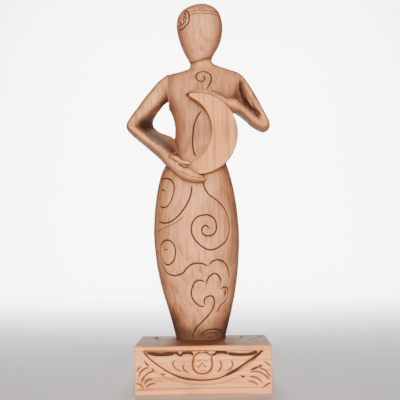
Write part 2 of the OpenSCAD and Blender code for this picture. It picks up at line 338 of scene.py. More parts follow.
def drawn(skin, lines, side=-1, flip=None):
    """Drops lines on the skin from the front (-1) or back (1). flip mirrors them around that x."""
    cuts = []
    for width, depth, dark, points in lines:
        spots = []
        for x, z in smooth_line(points):
            if flip is not None:
                x = 2 * flip - x
            hit = skin.ray_cast(Vector((x, side * OUTSIDE, z)), Vector((0, -side, 0)))[0]
            if hit is not None:
                spots.append(hit)
        if len(spots) > 1:
            cuts += tapered(spots, width, depth, dark)
    return cuts


# %% [markdown]
# ## Cutting
# Facets near a line are split until they are fine enough to show a one-millimetre cut.
# Then every point near a line sinks along its normal: most at the line, less towards
# the cut's edge, and a trace beyond it, where the carver rounds the ground. The
# darkness is stored on the surface for the wood recipe.

# %% Refine and carve
# all in millimetres: how far from a line the facets are split, how far from it the skin
# can move at all, and how far the rounding beside a cut spreads
SPLIT_REACH = 1.1
CARVE_REACH = 5.0
ROUND_REACH = 2.2


def tree_of(places):
    """A search tree that finds the nearest of these places and its number."""
    tree = KDTree(len(places))
    for i, place in enumerate(places):
        tree.insert(place, i)
    tree.balance()
    return tree


def cuts_tree(cuts):
    return tree_of([cut[0] for cut in cuts])


def line_tree(line):
    """A search tree of (across, up) places, all at depth 0."""
    return tree_of([(x, 0, z) for x, z in line])


def find_flat(tree, place):
    """The nearest place of a line tree, its number and its distance, as seen from the front."""
    return tree.find((place.x, 0, place.z))


def refine(bm, near, size, rounds):
    """Splits edges longer than size where near(place) gives a small distance to a line."""
    bmesh.ops.triangulate(bm, faces=bm.faces)
    for _ in range(rounds):
        long_edges = []
        for e in bm.edges:
            length = e.calc_length()
            if length > size and near((e.verts[0].co + e.verts[1].co) / 2) < SPLIT_REACH + length / 2:
                long_edges.append(e)
        bmesh.ops.subdivide_edges(bm, edges=long_edges, cuts=1)
        bmesh.ops.triangulate(bm, faces=[f for f in bm.faces if len(f.verts) > 3])
        # where two new facets lie back to back on the same corners, both go
        bm.verts.index_update()
        on_corners = {}
        for f in bm.faces:
            on_corners.setdefault(frozenset(v.index for v in f.verts), []).append(f)
        twins = [f for group in on_corners.values() if len(group) > 1 for f in group]
        bmesh.ops.delete(bm, geom=twins, context="FACES")


def carve(bm, cuts, rounding=0.12):
    """Sinks every cut into the skin and stores how dark it is."""
    tree = cuts_tree(cuts)
    layer = bm.verts.layers.float.new("carved")
    bm.normal_update()
    for v in bm.verts:
        _, i, d = tree.find(v.co)
        if d > CARVE_REACH:
            continue
        _, width, depth, dark = cuts[i]
        groove = max(0.0, 1 - d / width) ** 1.15
        v[layer] = min(1.0, dark * min(1.0, groove * 1.5))
        v.co -= v.normal * (depth * groove + rounding * math.exp(-(d / ROUND_REACH) ** 2))


def paint_shade_along(bm, points, width, dark):
    """Painted shade along a line on the front-facing skin, fading over width, stored with the cuts."""
    layer = bm.verts.layers.float["carved"]
    tree = line_tree(smooth_line(points, 1.0))
    bm.normal_update()
    for v in bm.verts:
        if v.normal.y < 0.2:
            d = find_flat(tree, v.co)[2] / width
            v[layer] = max(v[layer], dark * math.exp(-d * d))


def tooled(bm, height, length):
    """A trace of knife and scraper work: low waves, drawn out up the piece."""
    bm.normal_update()
    for v in bm.verts:
        at = Vector((v.co.x / length, v.co.y / length, v.co.z / (2.5 * length)))
        v.co += v.normal * (height * noise.noise(at))


# %% [markdown]
# ## Finishing a piece
# The clay goes back to metres, gets its wood and hangs under the root, and the CAD part
# that it replaces is hidden. Edges sharper than a set angle stay sharp in the shading; all else is
# smooth.

# %% Make a piece
def make_piece(bm, name, material, sharp=50):
    """Turns the clay into a finished object. Edges over sharp degrees stay sharp."""
    bm.normal_update()
    for f in bm.faces:
        f.smooth = True
    for e in bm.edges:
        e.smooth = len(e.link_faces) == 2 and e.calc_face_angle(0) < math.radians(sharp)
    bmesh.ops.scale(bm, vec=[1 / MM_PER_METRE] * 3, verts=bm.verts)
    mesh = bpy.data.meshes.new(name)
    bm.to_mesh(mesh)
    odd = sum(1 for e in bm.edges if len(e.link_faces) != 2)
    bm.free()
    obj = bpy.data.objects.new("carved_" + name, mesh)
    bpy.context.collection.objects.link(obj)
    mesh.materials.append(material)
    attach(obj, "root")
    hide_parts(name)
    print(f"{obj.name}: {len(mesh.polygons)} facets, {odd} edges not between two facets")
    return obj


# %% [markdown]
# ## Pressing soft valleys
# Wider shapes, such as the valley where an arm meets the chest, are pressed straight back
# from the front. The press works on the front-facing skin near a line, and fades over
# a few millimetres, like a thumb drawn through clay.

# %% Press along a line
def press(bm, points, width, depth):
    """Moves front-facing skin near a line back by depth (mm), fading over width."""
    tree = line_tree(smooth_line(points, 1.0))
    bm.normal_update()
    for v in bm.verts:
        if v.normal.y < 0:
            d = find_flat(tree, v.co)[2] / width
            if d < 2.5:
                v.co.y += depth * math.exp(-d * d) * min(1.0, -2 * v.normal.y)


# %% [markdown]
# ## The figure's big form
# The CAD figure is a stack of round sections. The carver's eye adds what sections
# can't: a chin that overhangs the neck, a breast line above the ribs, and a hollow
# beside each armpit. Each is a soft push around one point or a press along a line.

# %% Shape the figure
def push(bm, centre, radius, height):
    """Raises (or sinks) the skin by height at centre, fading over radius."""
    bm.normal_update()
    centre = Vector(centre)
    for v in bm.verts:
        d = (v.co - centre).length / radius
        if d < 2.5:
            v.co += v.normal * (height * math.exp(-d * d * 2))


# the shoulder joints, across, and the block's top and the joints' lowest place, up
RIGHT_JOINT = -25.0
LEFT_JOINT = 31.0
BLOCK_TOP = 35.0
JOINT_LOW = 195.0
bm = cad_copy("body")
lengthen(bm, 0, RIGHT_JOINT, -4)
lengthen(bm, 0, LEFT_JOINT, 4)
lengthen(bm, 2, BLOCK_TOP, -4)
bm = even_skin(bm, 1.3, 10)
push(bm, (-12, -4, 216), 10, 1.1)
push(bm, (-17, -3, 226), 6, -0.7)
push(bm, (1.5, -2, 257.5), 8, 1.3)
press(bm, [(-25, 243), (-25, 216)], 3.5, 0.9)
press(bm, [(31.5, 233), (31.5, 224)], 3.0, 1.2)
press(bm, [(-8, 254), (-3, 252.8), (3, 254), (10, 257.6)], 1.6, 1.1)
saw(bm, 0, RIGHT_JOINT, -1, low=JOINT_LOW)
saw(bm, 0, LEFT_JOINT, 1, low=JOINT_LOW)
saw(bm, 2, BLOCK_TOP, -1)
tooled(bm, 0.22, 9)
print("figure skin:", len(bm.verts), "points")

# %% [markdown]
# ## Scrolls on the skirt
# The skirt is covered with wind-like spirals above, and a three-lobed flower with a
# curling stem below. They were cut with a V-shaped gouge about one and a half
# millimetres wide. Points are (across, up) in millimetres. The back repeats the front
# in mirror image.

# %% Skirt lines
# each line is (half width, depth, darkness from 0 to 1, points)
GOUGE = (0.8, 0.85, 1.0)
FAINT = (0.65, 0.4, 0.5)
SKIRT = [
    (*GOUGE, [(-31.2, 160), (-26.6, 160.1), (-22.5, 157.7), (-20.6, 153), (-21.6, 146.6), (-23.9, 141),
              (-26.6, 137.9), (-30, 137.5), (-32.4, 139.1)]),
    (*GOUGE, [(-31.4, 151.2), (-29.3, 151.2), (-27.6, 149)]),
    (*GOUGE, [(-6.8, 153.1), (-7.5, 147.4), (-9.8, 141.1), (-13.7, 134.8), (-18.8, 129.3), (-24, 126),
              (-29.3, 125.3), (-32.8, 126.8)]),
    (*FAINT, [(-13.1, 130.3), (-18.9, 125.5), (-24.7, 123.2), (-30.7, 120.9), (-35, 118.9)]),
    (*GOUGE, [(1.7, 157.5), (2.9, 151.7), (6, 146.6), (10.4, 143.5), (14.8, 139.7), (17.9, 135.9),
              (20.4, 130.3), (21.6, 124.5), (21.5, 119.4), (20.4, 113.7), (17.5, 109.3), (12.3, 105.6),
              (6.6, 104.1), (1, 106.3), (-3.9, 110.8), (-7, 115.8), (-7.5, 121.4), (-6.2, 125.8),
              (-3, 129.2), (2, 130.7), (6.4, 130.4), (10.1, 127.6), (11.6, 123.1), (11.2, 118.7),
              (8.7, 115.6), (4.3, 114.7), (1.2, 116.3), (0.3, 119.5), (1.6, 121.9), (3.5, 122.7),
              (5.6, 121.3), (6.2, 120)]),
    (*GOUGE, [(-32, 108.8), (-29.5, 111.3), (-26.2, 112.1), (-22.9, 110.5), (-20.7, 106.7),
              (-20.2, 102.3), (-21.2, 97.2), (-23.9, 94.1), (-26.6, 93.2), (-29.2, 94.8),
              (-30.5, 98.6)]),
    (*GOUGE, [(-29, 104.3), (-27.6, 105.2), (-26.3, 104.6)]),
    (*GOUGE, [(-32, 108.8), (-32.8, 103.7), (-32.3, 97.3), (-30, 90.9), (-27.4, 87.1), (-22.2, 84.9),
              (-17.6, 85.6), (-14.4, 87.1), (-11.8, 90.2), (-8, 93.3), (-2.9, 94.2), (1.4, 93.5),
              (4.5, 91.9)]),
    (*GOUGE, [(5.8, 93.1), (8.4, 95.6), (12.2, 96.5), (16, 95.4), (18.5, 92.9), (20.4, 89),
              (21.4, 83.2)]),
    (*FAINT, [(20.3, 155), (21.5, 147.9), (22.1, 143.3)]),
    (*FAINT, [(23.4, 154.8), (23.9, 148.2), (26.1, 140.5), (26.5, 131.3)]),
    (*GOUGE, [(1.9, 80), (-1.9, 81.3), (-5.1, 80.1), (-7.3, 76.6), (-8.5, 71.6), (-7.5, 67.1),
              (-4.7, 63.3), (-1.6, 61.3), (1.6, 61.3)]),
    (*GOUGE, [(3.1, 78.4), (4.1, 81.5), (6.3, 84.6), (9.5, 86.1), (12, 85.1), (13.9, 82.5),
              (14.5, 79.3)]),
    (*GOUGE, [(1.9, 62.2), (1.3, 65.1), (2.3, 67.6), (5.5, 69.1), (8, 68.4), (9.3, 64.9), (8.5, 60.4),
              (5.9, 56), (1.4, 51), (-3.1, 46.5), (-6.4, 42.7), (-8.4, 36.8)]),
    (*GOUGE, [(14.4, 74.2), (16.4, 75.4), (19.4, 74.6), (19.9, 69.4), (17.6, 64.4), (14.3, 61.4),
              (11, 56.4)]),
    (1.5, 0.8, 0.75, [(17.6, 73.5), (18, 70.5), (17, 68)]),
    (*GOUGE, [(-1.7, 36.8), (-0.1, 40), (3.8, 42.5), (8.9, 43), (12.8, 42.2), (16.1, 38.7)]),
    (*GOUGE, [(3.4, 36.2), (6.3, 36.6), (8.4, 37.4)]),
    (0.7, 0.6, 0.8, [(0.8, 37.2), (3.6, 39.8), (8.4, 40.4), (13, 39)]),
    (*FAINT, [(-27.7, 79.7), (-23.8, 76), (-21.9, 70.2), (-21.8, 63.7), (-24.4, 58.2), (-26, 56.6)]),
    (0.9, 0.7, 0.8, [(-17.9, 59.2), (-17.5, 57)]),
]
skin = BVHTree.FromBMesh(bm)
SKIRT_MIDDLE = -3.5
figure_cuts = drawn(skin, SKIRT)
figure_cuts += drawn(skin, SKIRT, side=1, flip=SKIRT_MIDDLE)
print("skirt cut samples:", len(figure_cuts))

# %% [markdown]
# ## Lines on the body and head
# A small spiral sits on the breast and one curved line runs down the belly. Around the
# head goes a band between two fine cuts, level all the way round except where it
# dips to meet the flower at the temple. Rays towards the head's axis drop it on the skin.

# %% Body and head lines
BODY = [
    (0.75, 0.75, 0.95, [(5.9, 230.4), (8.1, 234.3), (9.4, 239), (8.2, 243.4), (3.5, 245.7),
                        (-1.1, 244.2), (-2.7, 241), (-1.1, 237.7), (1.7, 236.8), (4.3, 238.6),
                        (3.7, 240.9), (1.9, 240.8)]),
    (0.8, 0.85, 1.0, [(1.3, 212.8), (-2.7, 206.7), (-5.2, 198.8), (-5.9, 189.6), (-5.5, 181.5),
                      (-3.4, 176.2)]),
    # the crease under the chin; its darkness is painted shadow under the chin
    (1.7, 0.55, 0.4, [(-7.6, 254.9), (-5.2, 253.7), (-0.3, 254.2), (4.6, 255.5), (7.9, 256.8),
                      (10, 257.9)]),
]
figure_cuts += drawn(skin, BODY)


HEAD_AXIS = (1.5, 9)


def ring(skin, height, width, depth, dark):
    """A cut around the head at height(angle), with angle 0 at the front."""
    spots = []
    for i in range(361):
        turn = math.radians(i)
        way = Vector((math.sin(turn), -math.cos(turn), 0))
        start = Vector((*HEAD_AXIS, height(turn))) + way * 60
        hit = skin.ray_cast(start, -way)[0]
        if hit is not None:
            spots.append(hit)
    return tapered(spots, width, depth, dark)


def dip(turn):
    """How far the band drops beside the temple flower, about 40 degrees to the left."""
    off = (math.degrees(turn) - 318 + 180) % 360 - 180
    return 4.5 * math.exp(-(off / 17) ** 2)


figure_cuts += ring(skin, lambda turn: 292.6 - dip(turn), 0.65, 0.5, 0.6)
figure_cuts += ring(skin, lambda turn: 290.0 - dip(turn), 0.65, 0.5, 0.6)
print("all figure cut samples:", len(figure_cuts))

# %% [markdown]
# ## The flower at the temple
# An oval flower stands a little proud of the temple. It has a broad outer band, an inner
# curl and small pits pressed between the petals. The raised part is pushed out first,
# and the lines are cut into it after.

# %% Raise and line the flower
FLOWER = [
    (0.8, 0.9, 0.9, [(-13.5, 294.6), (-10.5, 293.6), (-8.2, 291.2), (-7.3, 287.1), (-7.8, 283.2),
                     (-10.2, 280.6), (-13.2, 278.9), (-16.2, 279.4)]),
    (0.7, 0.8, 0.9, [(-14, 289.4), (-12.8, 291.4), (-11.2, 291.8), (-10, 288.8), (-10.3, 284.8),
                     (-12.7, 282.3), (-15.2, 281.4)]),
    (0.6, 0.7, 0.8, [(-12.6, 288.8), (-12.1, 286.6), (-13.2, 284.4)]),
]
PITS = [(-11.3, 290.8), (-11.2, 287.6), (-14.3, 287.3), (-12.2, 285.6), (-14.6, 283.4), (-15.6, 290.6)]
push(bm, (-13, -3, 286.5), 8.5, 0.9)
skin = BVHTree.FromBMesh(bm)
figure_cuts += drawn(skin, FLOWER)
for x, z in PITS:
    hit = skin.ray_cast(Vector((x, -OUTSIDE, z)), Vector((0, 1, 0)))[0]
    figure_cuts.append((hit, 1.9, 1.8, 1.0))
figure_tree = cuts_tree(figure_cuts)
refine(bm, lambda place: figure_tree.find(place)[2], 0.5, 3)
carve(bm, figure_cuts)
# painted shade beside both shoulder joints, and a broad band of painted shade along the foot, where the
# skirt meets the block
paint_shade_along(bm, [(-23.5, 241), (-23, 226), (-21.5, 214)], 3.0, 0.28)
paint_shade_along(bm, [(30, 233), (29.5, 226)], 2.5, 0.3)
paint_shade_along(bm, [(-24, 50), (-20, 42), (-8, 37), (8, 37), (16, 40), (21, 46)], 12.0, 0.62)
figure = make_piece(bm, "body", FIGURE_WOOD)

# %% [markdown]
# ## The arms and hands
# Each arm was carved on its own, with its hand cut to hug the moon's edge, and then
# doweled to the shoulder. The right hand cups the lower horn with the thumb in front.
# The left lies along the moon's upper rim. Fingers are only shallow lines. The web inside
# the right elbow is cut back between the two edges listed here.

# %% Shape and line the arms
def arm(name, lines, shape, waxed, joint, side, joint_foot):
    """One arm: smoothed, shaped and lined, with its joint face sawn flat above joint_foot."""
    bm = cad_copy(name)
    lengthen(bm, 0, joint, side * 3)
    bm = even_skin(bm, 0.75, 7)
    saw(bm, 0, joint, side, low=joint_foot)
    shape(bm)
    tooled(bm, 0.16, 7)
    cuts = drawn(BVHTree.FromBMesh(bm), lines)
    tree = cuts_tree(cuts)
    refine(bm, lambda place: tree.find(place)[2], 0.5, 2)
    carve(bm, cuts, 0.06)
    # waxed lists lines of painted shade, along the creases of the elbow and the armpit
    for points, width, dark in waxed:
        paint_shade_along(bm, points, width, dark)
    return make_piece(bm, name, FIGURE_WOOD)


def cover(bm, place, shift, radius):
    """Shifts the skin around place that faces the way of the shift, fading over radius."""
    bm.normal_update()
    place = Vector(place)
    shift = Vector(shift)
    for v in bm.verts:
        facing = min(1.0, 2 * v.normal.dot(shift.normalized()))
        if facing > 0:
            d = (v.co - place).length / radius
            v.co += shift * (facing * math.exp(-d * d))


UPPER_EDGE = [(-48, 201.9), (-42.3, 208.5), (-35.5, 216.5), (-25.5, 222.6)]
LOWER_EDGE = [(-48, 201.9), (-40.5, 194), (-32.5, 187.3), (-24, 180), (-20.9, 175)]
WEB_DEPTH = 8.5
THUMB = Vector((-14, -29, 173))


def shape_right(bm):
    """Thins the web inside the elbow, so that the arm stands out round, and slims the thumb."""
    tree = line_tree(smooth_line(UPPER_EDGE, 0.5) + smooth_line(LOWER_EDGE, 0.5))
    bm.normal_update()
    for v in bm.verts:
        spot, _, d = find_flat(tree, v.co)
        if v.co.x > spot.x and v.normal.y < 0 and 175 < v.co.z < 221.5:
            v.co.y += WEB_DEPTH * (1 - math.exp(-d / 3.0)) * min(1.0, -2 * v.normal.y)
    press(bm, LOWER_EDGE, 1.3, 0.8)
    press(bm, UPPER_EDGE, 1.3, 0.8)
    press(bm, [(-25, 243), (-25, 216)], 3.5, 0.9)
    # the palm's upper edge rises to hide the end of the moon's pin
    cover(bm, (-7, -16.5, 167), (0, 0.6, 3.4), 5)
    # and the thumb's upper side comes down
    for v in bm.verts:
        d = (v.co - THUMB).length / 5
        v.co += Vector((0, 0.8, -2.2)) * math.exp(-d * d)


POCKET_FILL = 14.0


def shape_left(bm):
    """Deepens the pocket by the chest and fills it towards the elbow."""
    press(bm, [(33, 234), (33, 226)], 2.5, 1.3)
    press(bm, [(33, 224), (38, 219)], 3.5, 3.0)
    tree = line_tree(smooth_line([(33, 225), (36, 221), (40, 216.5), (44, 212), (49, 205.5)], 1.0))
    bm.normal_update()
    for v in bm.verts:
        if v.normal.y < -0.2 and v.co.y > -2:
            near = math.exp(-(find_flat(tree, v.co)[2] / 4) ** 2)
            v.co.y -= POCKET_FILL * near * min(1.0, max(0.0, (v.co.x - 36) / 9))
    floor_of_pocket = [v for v in bm.verts
                       if v.co.x > 35 and find_flat(tree, v.co)[2] < 5 and v.co.y > -12]
    soften(bm, floor_of_pocket, 12)
    press(bm, [(31, 247), (31, 239)], 3.0, 1.8)
    press(bm, [(31.7, 222), (38.1, 218.5), (43, 213.8)], 1.2, 0.8)


RIGHT_HAND = [
    (0.8, 0.7, 0.9, [(-16.2, 168.2), (-14, 167), (-10.9, 165.6), (-7.6, 166)]),
    (0.6, 0.4, 0.6, [(-17, 163.5), (-11, 160.6), (-6, 158.6), (0, 157.9), (4, 158)]),
    (0.6, 0.3, 0.45, [(-21, 171), (-16, 170.3), (-11, 168)]),
]
LEFT_HAND = [
    (0.6, 0.35, 0.6, [(-8.5, 223), (-4, 224.9), (3, 225.4), (10, 224), (17, 220.6)]),
    (0.6, 0.35, 0.5, [(-9.8, 222.2), (-8.6, 223.4), (-8.2, 224.6)]),
]
# lines of painted shade: in the crease inside the right elbow, and in the pocket by the left armpit
RIGHT_ARM_SHADE = [
    ([(-45, 203), (-38, 207), (-32, 213), (-27, 220)], 4.5, 0.75),
    ([(-43, 199.5), (-35, 193.5), (-27, 187), (-22, 181)], 4.0, 0.55),
]
LEFT_ARM_SHADE = [
    ([(32.5, 235), (32.5, 226), (36, 220)], 2.6, 0.55),
    ([(36, 219.5), (41, 215.5), (45, 211)], 1.4, 0.3),
]
right_arm = arm("right_arm", RIGHT_HAND, shape_right, RIGHT_ARM_SHADE, RIGHT_JOINT, 1, 210)
left_arm = arm("left_arm", LEFT_HAND, shape_left, LEFT_ARM_SHADE, LEFT_JOINT, -1, 225.6)

# %% [markdown]
# ## Tiling flat faces
# A large flat face has points only at its corners, so nothing stored on its points can
# vary across it. Knife cuts right through the mesh at a regular step give it more.

# %% Tile along an axis
def tile(bm, axis, start, end, step):
    """Cuts every face at a regular step along axis 0, 1 or 2."""
    way = Vector((0, 0, 0))
    way[axis] = 1
    for i in range(round((end - start) / step) + 1):
        bmesh.ops.bisect_plane(bm, geom=bm.verts[:] + bm.edges[:] + bm.faces[:], dist=0.0001,
                               plane_co=way * (start + i * step), plane_no=way)


# %% [markdown]
# ## The crescent moon
# The moon is a thin board sawn to a crescent. It stays flat in front, and only its
# front edges are broken with sandpaper. So its CAD mesh is kept, flat faces are merged
# into single ones, the front outline gets a small rounded bevel, and the board is tiled.

# %% Ease the moon's edges
bm = cad_copy("crescent_moon")
bmesh.ops.dissolve_limit(bm, angle_limit=math.radians(0.5), verts=bm.verts, edges=bm.edges)
MOON_FRONT = -26.0
outline = [e for e in bm.edges if all(abs(v.co.y - MOON_FRONT) < 0.05 for v in e.verts)
           and e.calc_face_angle(0) > math.radians(40)]
bmesh.ops.bevel(bm, geom=outline, offset=0.7, offset_type="OFFSET", affect="EDGES", segments=3,
                profile=0.5, material=-1, clamp_overlap=True)
tile(bm, 0, -30, 28, 2.5)
tile(bm, 2, 162, 222, 2.5)
moon = make_piece(bm, "crescent_moon", MOON_WOOD, sharp=30)

# %% [markdown]
# ## The block
# The block is sawn oblong with its edges just broken. Its front is carved in low
# relief: a boat-shaped panel with petals around a bud, and a fan of leaves in each lower
# corner. The faces are cut into small tiles first, and each tile is split further near
# a line, so that the relief has points to move.

# %% Tile the block
BLOCK = Vector((100.0, 64.0, BLOCK_TOP))
bm = bmesh.new()
bmesh.ops.create_cube(bm, size=1)
bmesh.ops.scale(bm, vec=BLOCK, verts=bm.verts)
bmesh.ops.translate(bm, vec=(0, 0, BLOCK.z / 2), verts=bm.verts)
bmesh.ops.bevel(bm, geom=bm.edges[:], offset=1.0, offset_type="OFFSET", affect="EDGES", segments=3,
                profile=0.5, material=-1)
tile(bm, 0, -48, 48, 3)
tile(bm, 1, -30, 30, 3)
tile(bm, 2, 2, 33, 3)
print("block tiles:", len(bm.faces))

# %% [markdown]
# ## The block's lines
# The same kind of line is used as on the skirt. The deepest cuts are two bands under the
# panel's top edge. The leaves in the corners are grooves that fan out from the corner,
# and on top of the block a few scrolls run from the back edge towards the foot.

# %% Block lines
DEEP = (1.1, 1.2, 1.0)
LIGHT = (0.85, 0.9, 0.62)
ARC = [(-43, 31), (-40, 27.7), (-35.1, 23.3), (-27.9, 18.4), (-20.8, 14.5), (-13.7, 11.9),
       (-6.6, 10.9), (0.5, 10.7), (7.6, 11.3), (14.8, 13), (22.1, 16.4), (29.3, 20.8),
       (36.6, 25.7), (40.9, 29), (43.3, 30.8)]
FRONT = [
    (1.1, 0.6, 1.0, ARC),
    (0.7, 0.5, 0.8, [(-43.5, 31.6), (-20, 31.3), (0.8, 31.1), (20, 30.8), (43.8, 30.7)]),
    (1.7, 1.6, 1.0, [(-40.5, 30.4), (-36, 29.3), (-30, 29), (-24, 29.4), (-21, 30)]),
    (*DEEP, [(-21, 29.9), (-18.6, 29.5), (-16.4, 28.2), (-14.6, 29.5), (-11, 30), (-8.6, 29.6),
             (-7, 28.4)]),
    (*DEEP, [(6.2, 29), (7.6, 28.4), (10, 29.7), (14, 30), (18.5, 29.2)]),
    (1.7, 1.6, 1.0, [(18.5, 29.2), (22, 28.7), (28, 28.4), (34, 28.7), (39, 29.7)]),
    (*LIGHT, [(-20.4, 24.6), (-22, 22.6), (-20.9, 19.6), (-18.6, 17.6), (-15.9, 16.3)]),
    (*LIGHT, [(-13.6, 22), (-14.6, 19.6), (-13.4, 17.2), (-10.2, 15)]),
    (*LIGHT, [(11.8, 24.4), (13.2, 21.6), (12.6, 18.4), (10.4, 16)]),
    (*LIGHT, [(20.2, 24.4), (21.4, 21.6), (20.4, 18.6), (17.6, 16.6)]),
    (1.0, 1.1, 0.62, [(-6.9, 28.2), (-6.9, 25.4), (-7.6, 22.8), (-7.1, 18.6), (-4.6, 15.6),
                      (-0.8, 14.6), (3.2, 15.4), (6, 18.6), (6.6, 22.6), (6.2, 25.6), (6.6, 28.6)]),
    (0.7, 0.6, 0.8, [(-6, 27.2), (-4.2, 29.4), (-0.6, 30), (3.4, 29.6), (5.6, 27.6)]),
    (0.6, 0.35, 0.45, [(-5.4, 25.2), (-3, 24.4), (-0.6, 25), (2, 24.2), (4.6, 25.2)]),
    (0.7, 0.45, 0.6, [(-3.8, 19), (-2.4, 20.8), (-0.7, 22.4), (1, 20.8), (2.4, 19.2)]),
    (0.6, 0.35, 0.4, [(-3.4, 17.4), (-0.8, 16.8), (2, 17.4)]),
    (0.9, 0.3, 0.3, [(-35.8, 17.6), (-29.7, 13.9), (-20, 10), (-7, 7.8), (4.3, 7.4), (15.7, 9),
                     (25.7, 12.4)]),
    (0.8, 0.7, 0.9, [(-42.4, 24.6), (-41, 22.4), (-39, 21.4)]),
    (0.8, 0.7, 0.9, [(-37.2, 19.2), (-35.6, 17.4)]),
    (0.8, 0.7, 0.9, [(-30.8, 15.6), (-29, 14.6), (-27.4, 15)]),
    (0.8, 0.7, 0.9, [(27, 13.6), (28.6, 12.4), (30.4, 13.2)]),
    (1.1, 0.8, 0.9, [(34.5, 17.4), (38.4, 18.8), (42.4, 20.6)]),
    (*LIGHT, [(-47.8, 17.2), (-46.9, 19.2), (-45.3, 20.5)]),
    (*LIGHT, [(-46.6, 12.9), (-45.4, 16.2), (-43, 18.7), (-39.4, 20.2)]),
    (*LIGHT, [(-44.6, 9.8), (-43, 13), (-39.6, 15.9), (-35, 17.4)]),
    (*LIGHT, [(-43, 7.6), (-40.8, 10.6), (-36.6, 11.9)]),
    (*LIGHT, [(-41.6, 5.6), (-38.6, 7.8), (-34.4, 8.7)]),
    (*LIGHT, [(-48.6, 8.6), (-45.4, 7.6), (-43.2, 4.6)]),
    (*LIGHT, [(43.8, 23), (46.4, 21.9), (48.6, 19.7)]),
    (*LIGHT, [(39.4, 19.4), (44.6, 16.9), (48.4, 12.4)]),
    (*LIGHT, [(34.1, 15.9), (39.4, 15.9), (44, 13.9), (47.6, 10.3)]),
    (*LIGHT, [(33.6, 12.6), (38.6, 11.6), (42.6, 8.1)]),
    (*LIGHT, [(32.4, 9.3), (36.4, 8.6), (39.4, 6.2)]),
    (*LIGHT, [(42.4, 4.4), (45.2, 6.4), (48.6, 8.2)]),
    (0.6, 0.3, 0.35, [(-48.5, 4), (-20, 4.4), (10, 4.7), (49, 5.2)]),
]
TOP = [
    (1.0, 1.0, 1.0, [(-36, 30.6), (-37.8, 22), (-37.2, 12), (-32.6, 5.6), (-26, 5.4), (-21.4, 11)]),
    (*GOUGE, [(-26, 29.5), (-22.5, 30.2)]),
    (*GOUGE, [(29, 18), (31, 23), (33.2, 29)]),
    (*FAINT, [(34.4, -2), (38, 6), (43, 14), (46.8, 25)]),
    (*FAINT, [(22, 4), (28, 8), (30, 15)]),
]


def block_cuts(lines, on_front):
    """Lines on the flat front, or on the flat top where points are (across, back)."""
    cuts = []
    for width, depth, dark, points in lines:
        if on_front:
            spots = [Vector((x, -BLOCK.y / 2, z)) for x, z in smooth_line(points)]
            width *= 1.1
        else:
            # the top is seen nearly edge on, so its lines are cut wider and darker
            spots = [Vector((x, y, BLOCK.z)) for x, y in smooth_line(points)]
            width *= 2.0
            dark = 1.0
        cuts += tapered(spots, width, depth, dark, 1.5)
    return cuts


cuts = block_cuts(FRONT, True) + block_cuts(TOP, False)
print("block cut samples:", len(cuts))

# %% [markdown]
# ## Panel relief
# The panel is part of a circle under a straight top. The ground drops quickly inside its
# rim and rises again towards the petals' middles. The bud is a dome that
# keeps almost the block's full height. Everything is one smooth function of the place,
# and it moves only the front's points.

# %% Sink the panel, then cut
PANEL_R = 57.0
PANEL_MIDDLE = (0.3, 67.8)
PANEL_TOP = 31.0
# millimetres: the width of the panel's rim, the ground's depth in the middle, how much
# deeper it is along the rim, and how far that reaches
RIM = 0.45
GROUND = 0.7
RIM_DEEPER = 1.5
RIM_REACH = 2.4
# the bud: middle across and up, then half width and half height
BUD = (-0.5, 22.2, 7.0, 8.0)
# points in front of these are near the front face, and on it
NEAR_FRONT = -30.9
ON_FRONT = -31.9
# cuts under this height are on the front, the others on the top
UNDER_TOP = 34.9


def panel_depth(x, z):
    """How far the front is sunk at a place inside the panel."""
    inside = min(PANEL_R - math.dist((x, z), PANEL_MIDDLE), PANEL_TOP - z)
    if inside <= 0:
        return 0.0
    rise = 1.0 - math.exp(-inside / RIM)
    ground = GROUND + RIM_DEEPER * math.exp(-(inside / RIM_REACH) ** 2)
    depth = rise * ground
    bud = math.hypot((x - BUD[0]) / BUD[2], (z - BUD[1]) / BUD[3])
    if bud < 1:
        depth = min(depth, 0.15 + 0.75 * bud ** 4)
    return depth


def block_near(place):
    """Distance to the nearest line, or 0.9 inside the panel, where the relief needs points."""
    near = block_tree.find(place)[2]
    if place.y < NEAR_FRONT and place.z > 12 and panel_depth(place.x, place.z) > 0:
        return min(near, 0.9)
    return near


def sunk(cut):
    """A front cut moved back with the panel. The others stay where they are."""
    place, *rest = cut
    if place.z < UNDER_TOP:
        place = place + Vector((0, panel_depth(place.x, place.z) * 0.9, 0))
    return (place, *rest)


block_tree = cuts_tree(cuts)
bmesh.ops.triangulate(bm, faces=bm.faces)
for size, rounds in ((1.2, 1), (0.6, 2)):
    refine(bm, block_near, size, rounds)
for v in bm.verts:
    if v.co.y < ON_FRONT:
        v.co.y += panel_depth(v.co.x, v.co.z)
carve(bm, [sunk(cut) for cut in cuts], 0.1)
block = make_piece(bm, "plinth", PLINTH_WOOD, sharp=70)

# %% [markdown]
# ## Where the wax gathers, and painted shade
# Brown wax is rubbed on the whole figure and wiped off again. It stays where a cloth
# can't reach: inside the elbows, behind the hands and along the foot. Short rays around
# each point's normal find how closed in it is, and that number is stored as "hollow".
# Its darkening is partly that wax and partly painted shade in the hollows. Two places are
# darkened less than the rays say, the left elbow and under the chin, and the tight
# shoulder joints are left out, as they were filled before waxing. A second number,
# "painted_shade", is painted shade: high where the skin faces sideways, up or down, and
# on the chest behind the arms and the moon.

# %% Measure the hollows
# in metres: the height of the armpits, where the left elbow's inside begins and how wide
# the change is, and the height above which the only hollow is the one under the chin
ARMPITS = 0.222
ELBOW_START = 0.036
ELBOW_FADE = 0.008
NECK = 0.25
# the painted shade on the chest: how much, its middle's height, and how far it spreads
CHEST_SHADE = 0.3
CHEST_MIDDLE = 0.206
CHEST_REACH = 0.042


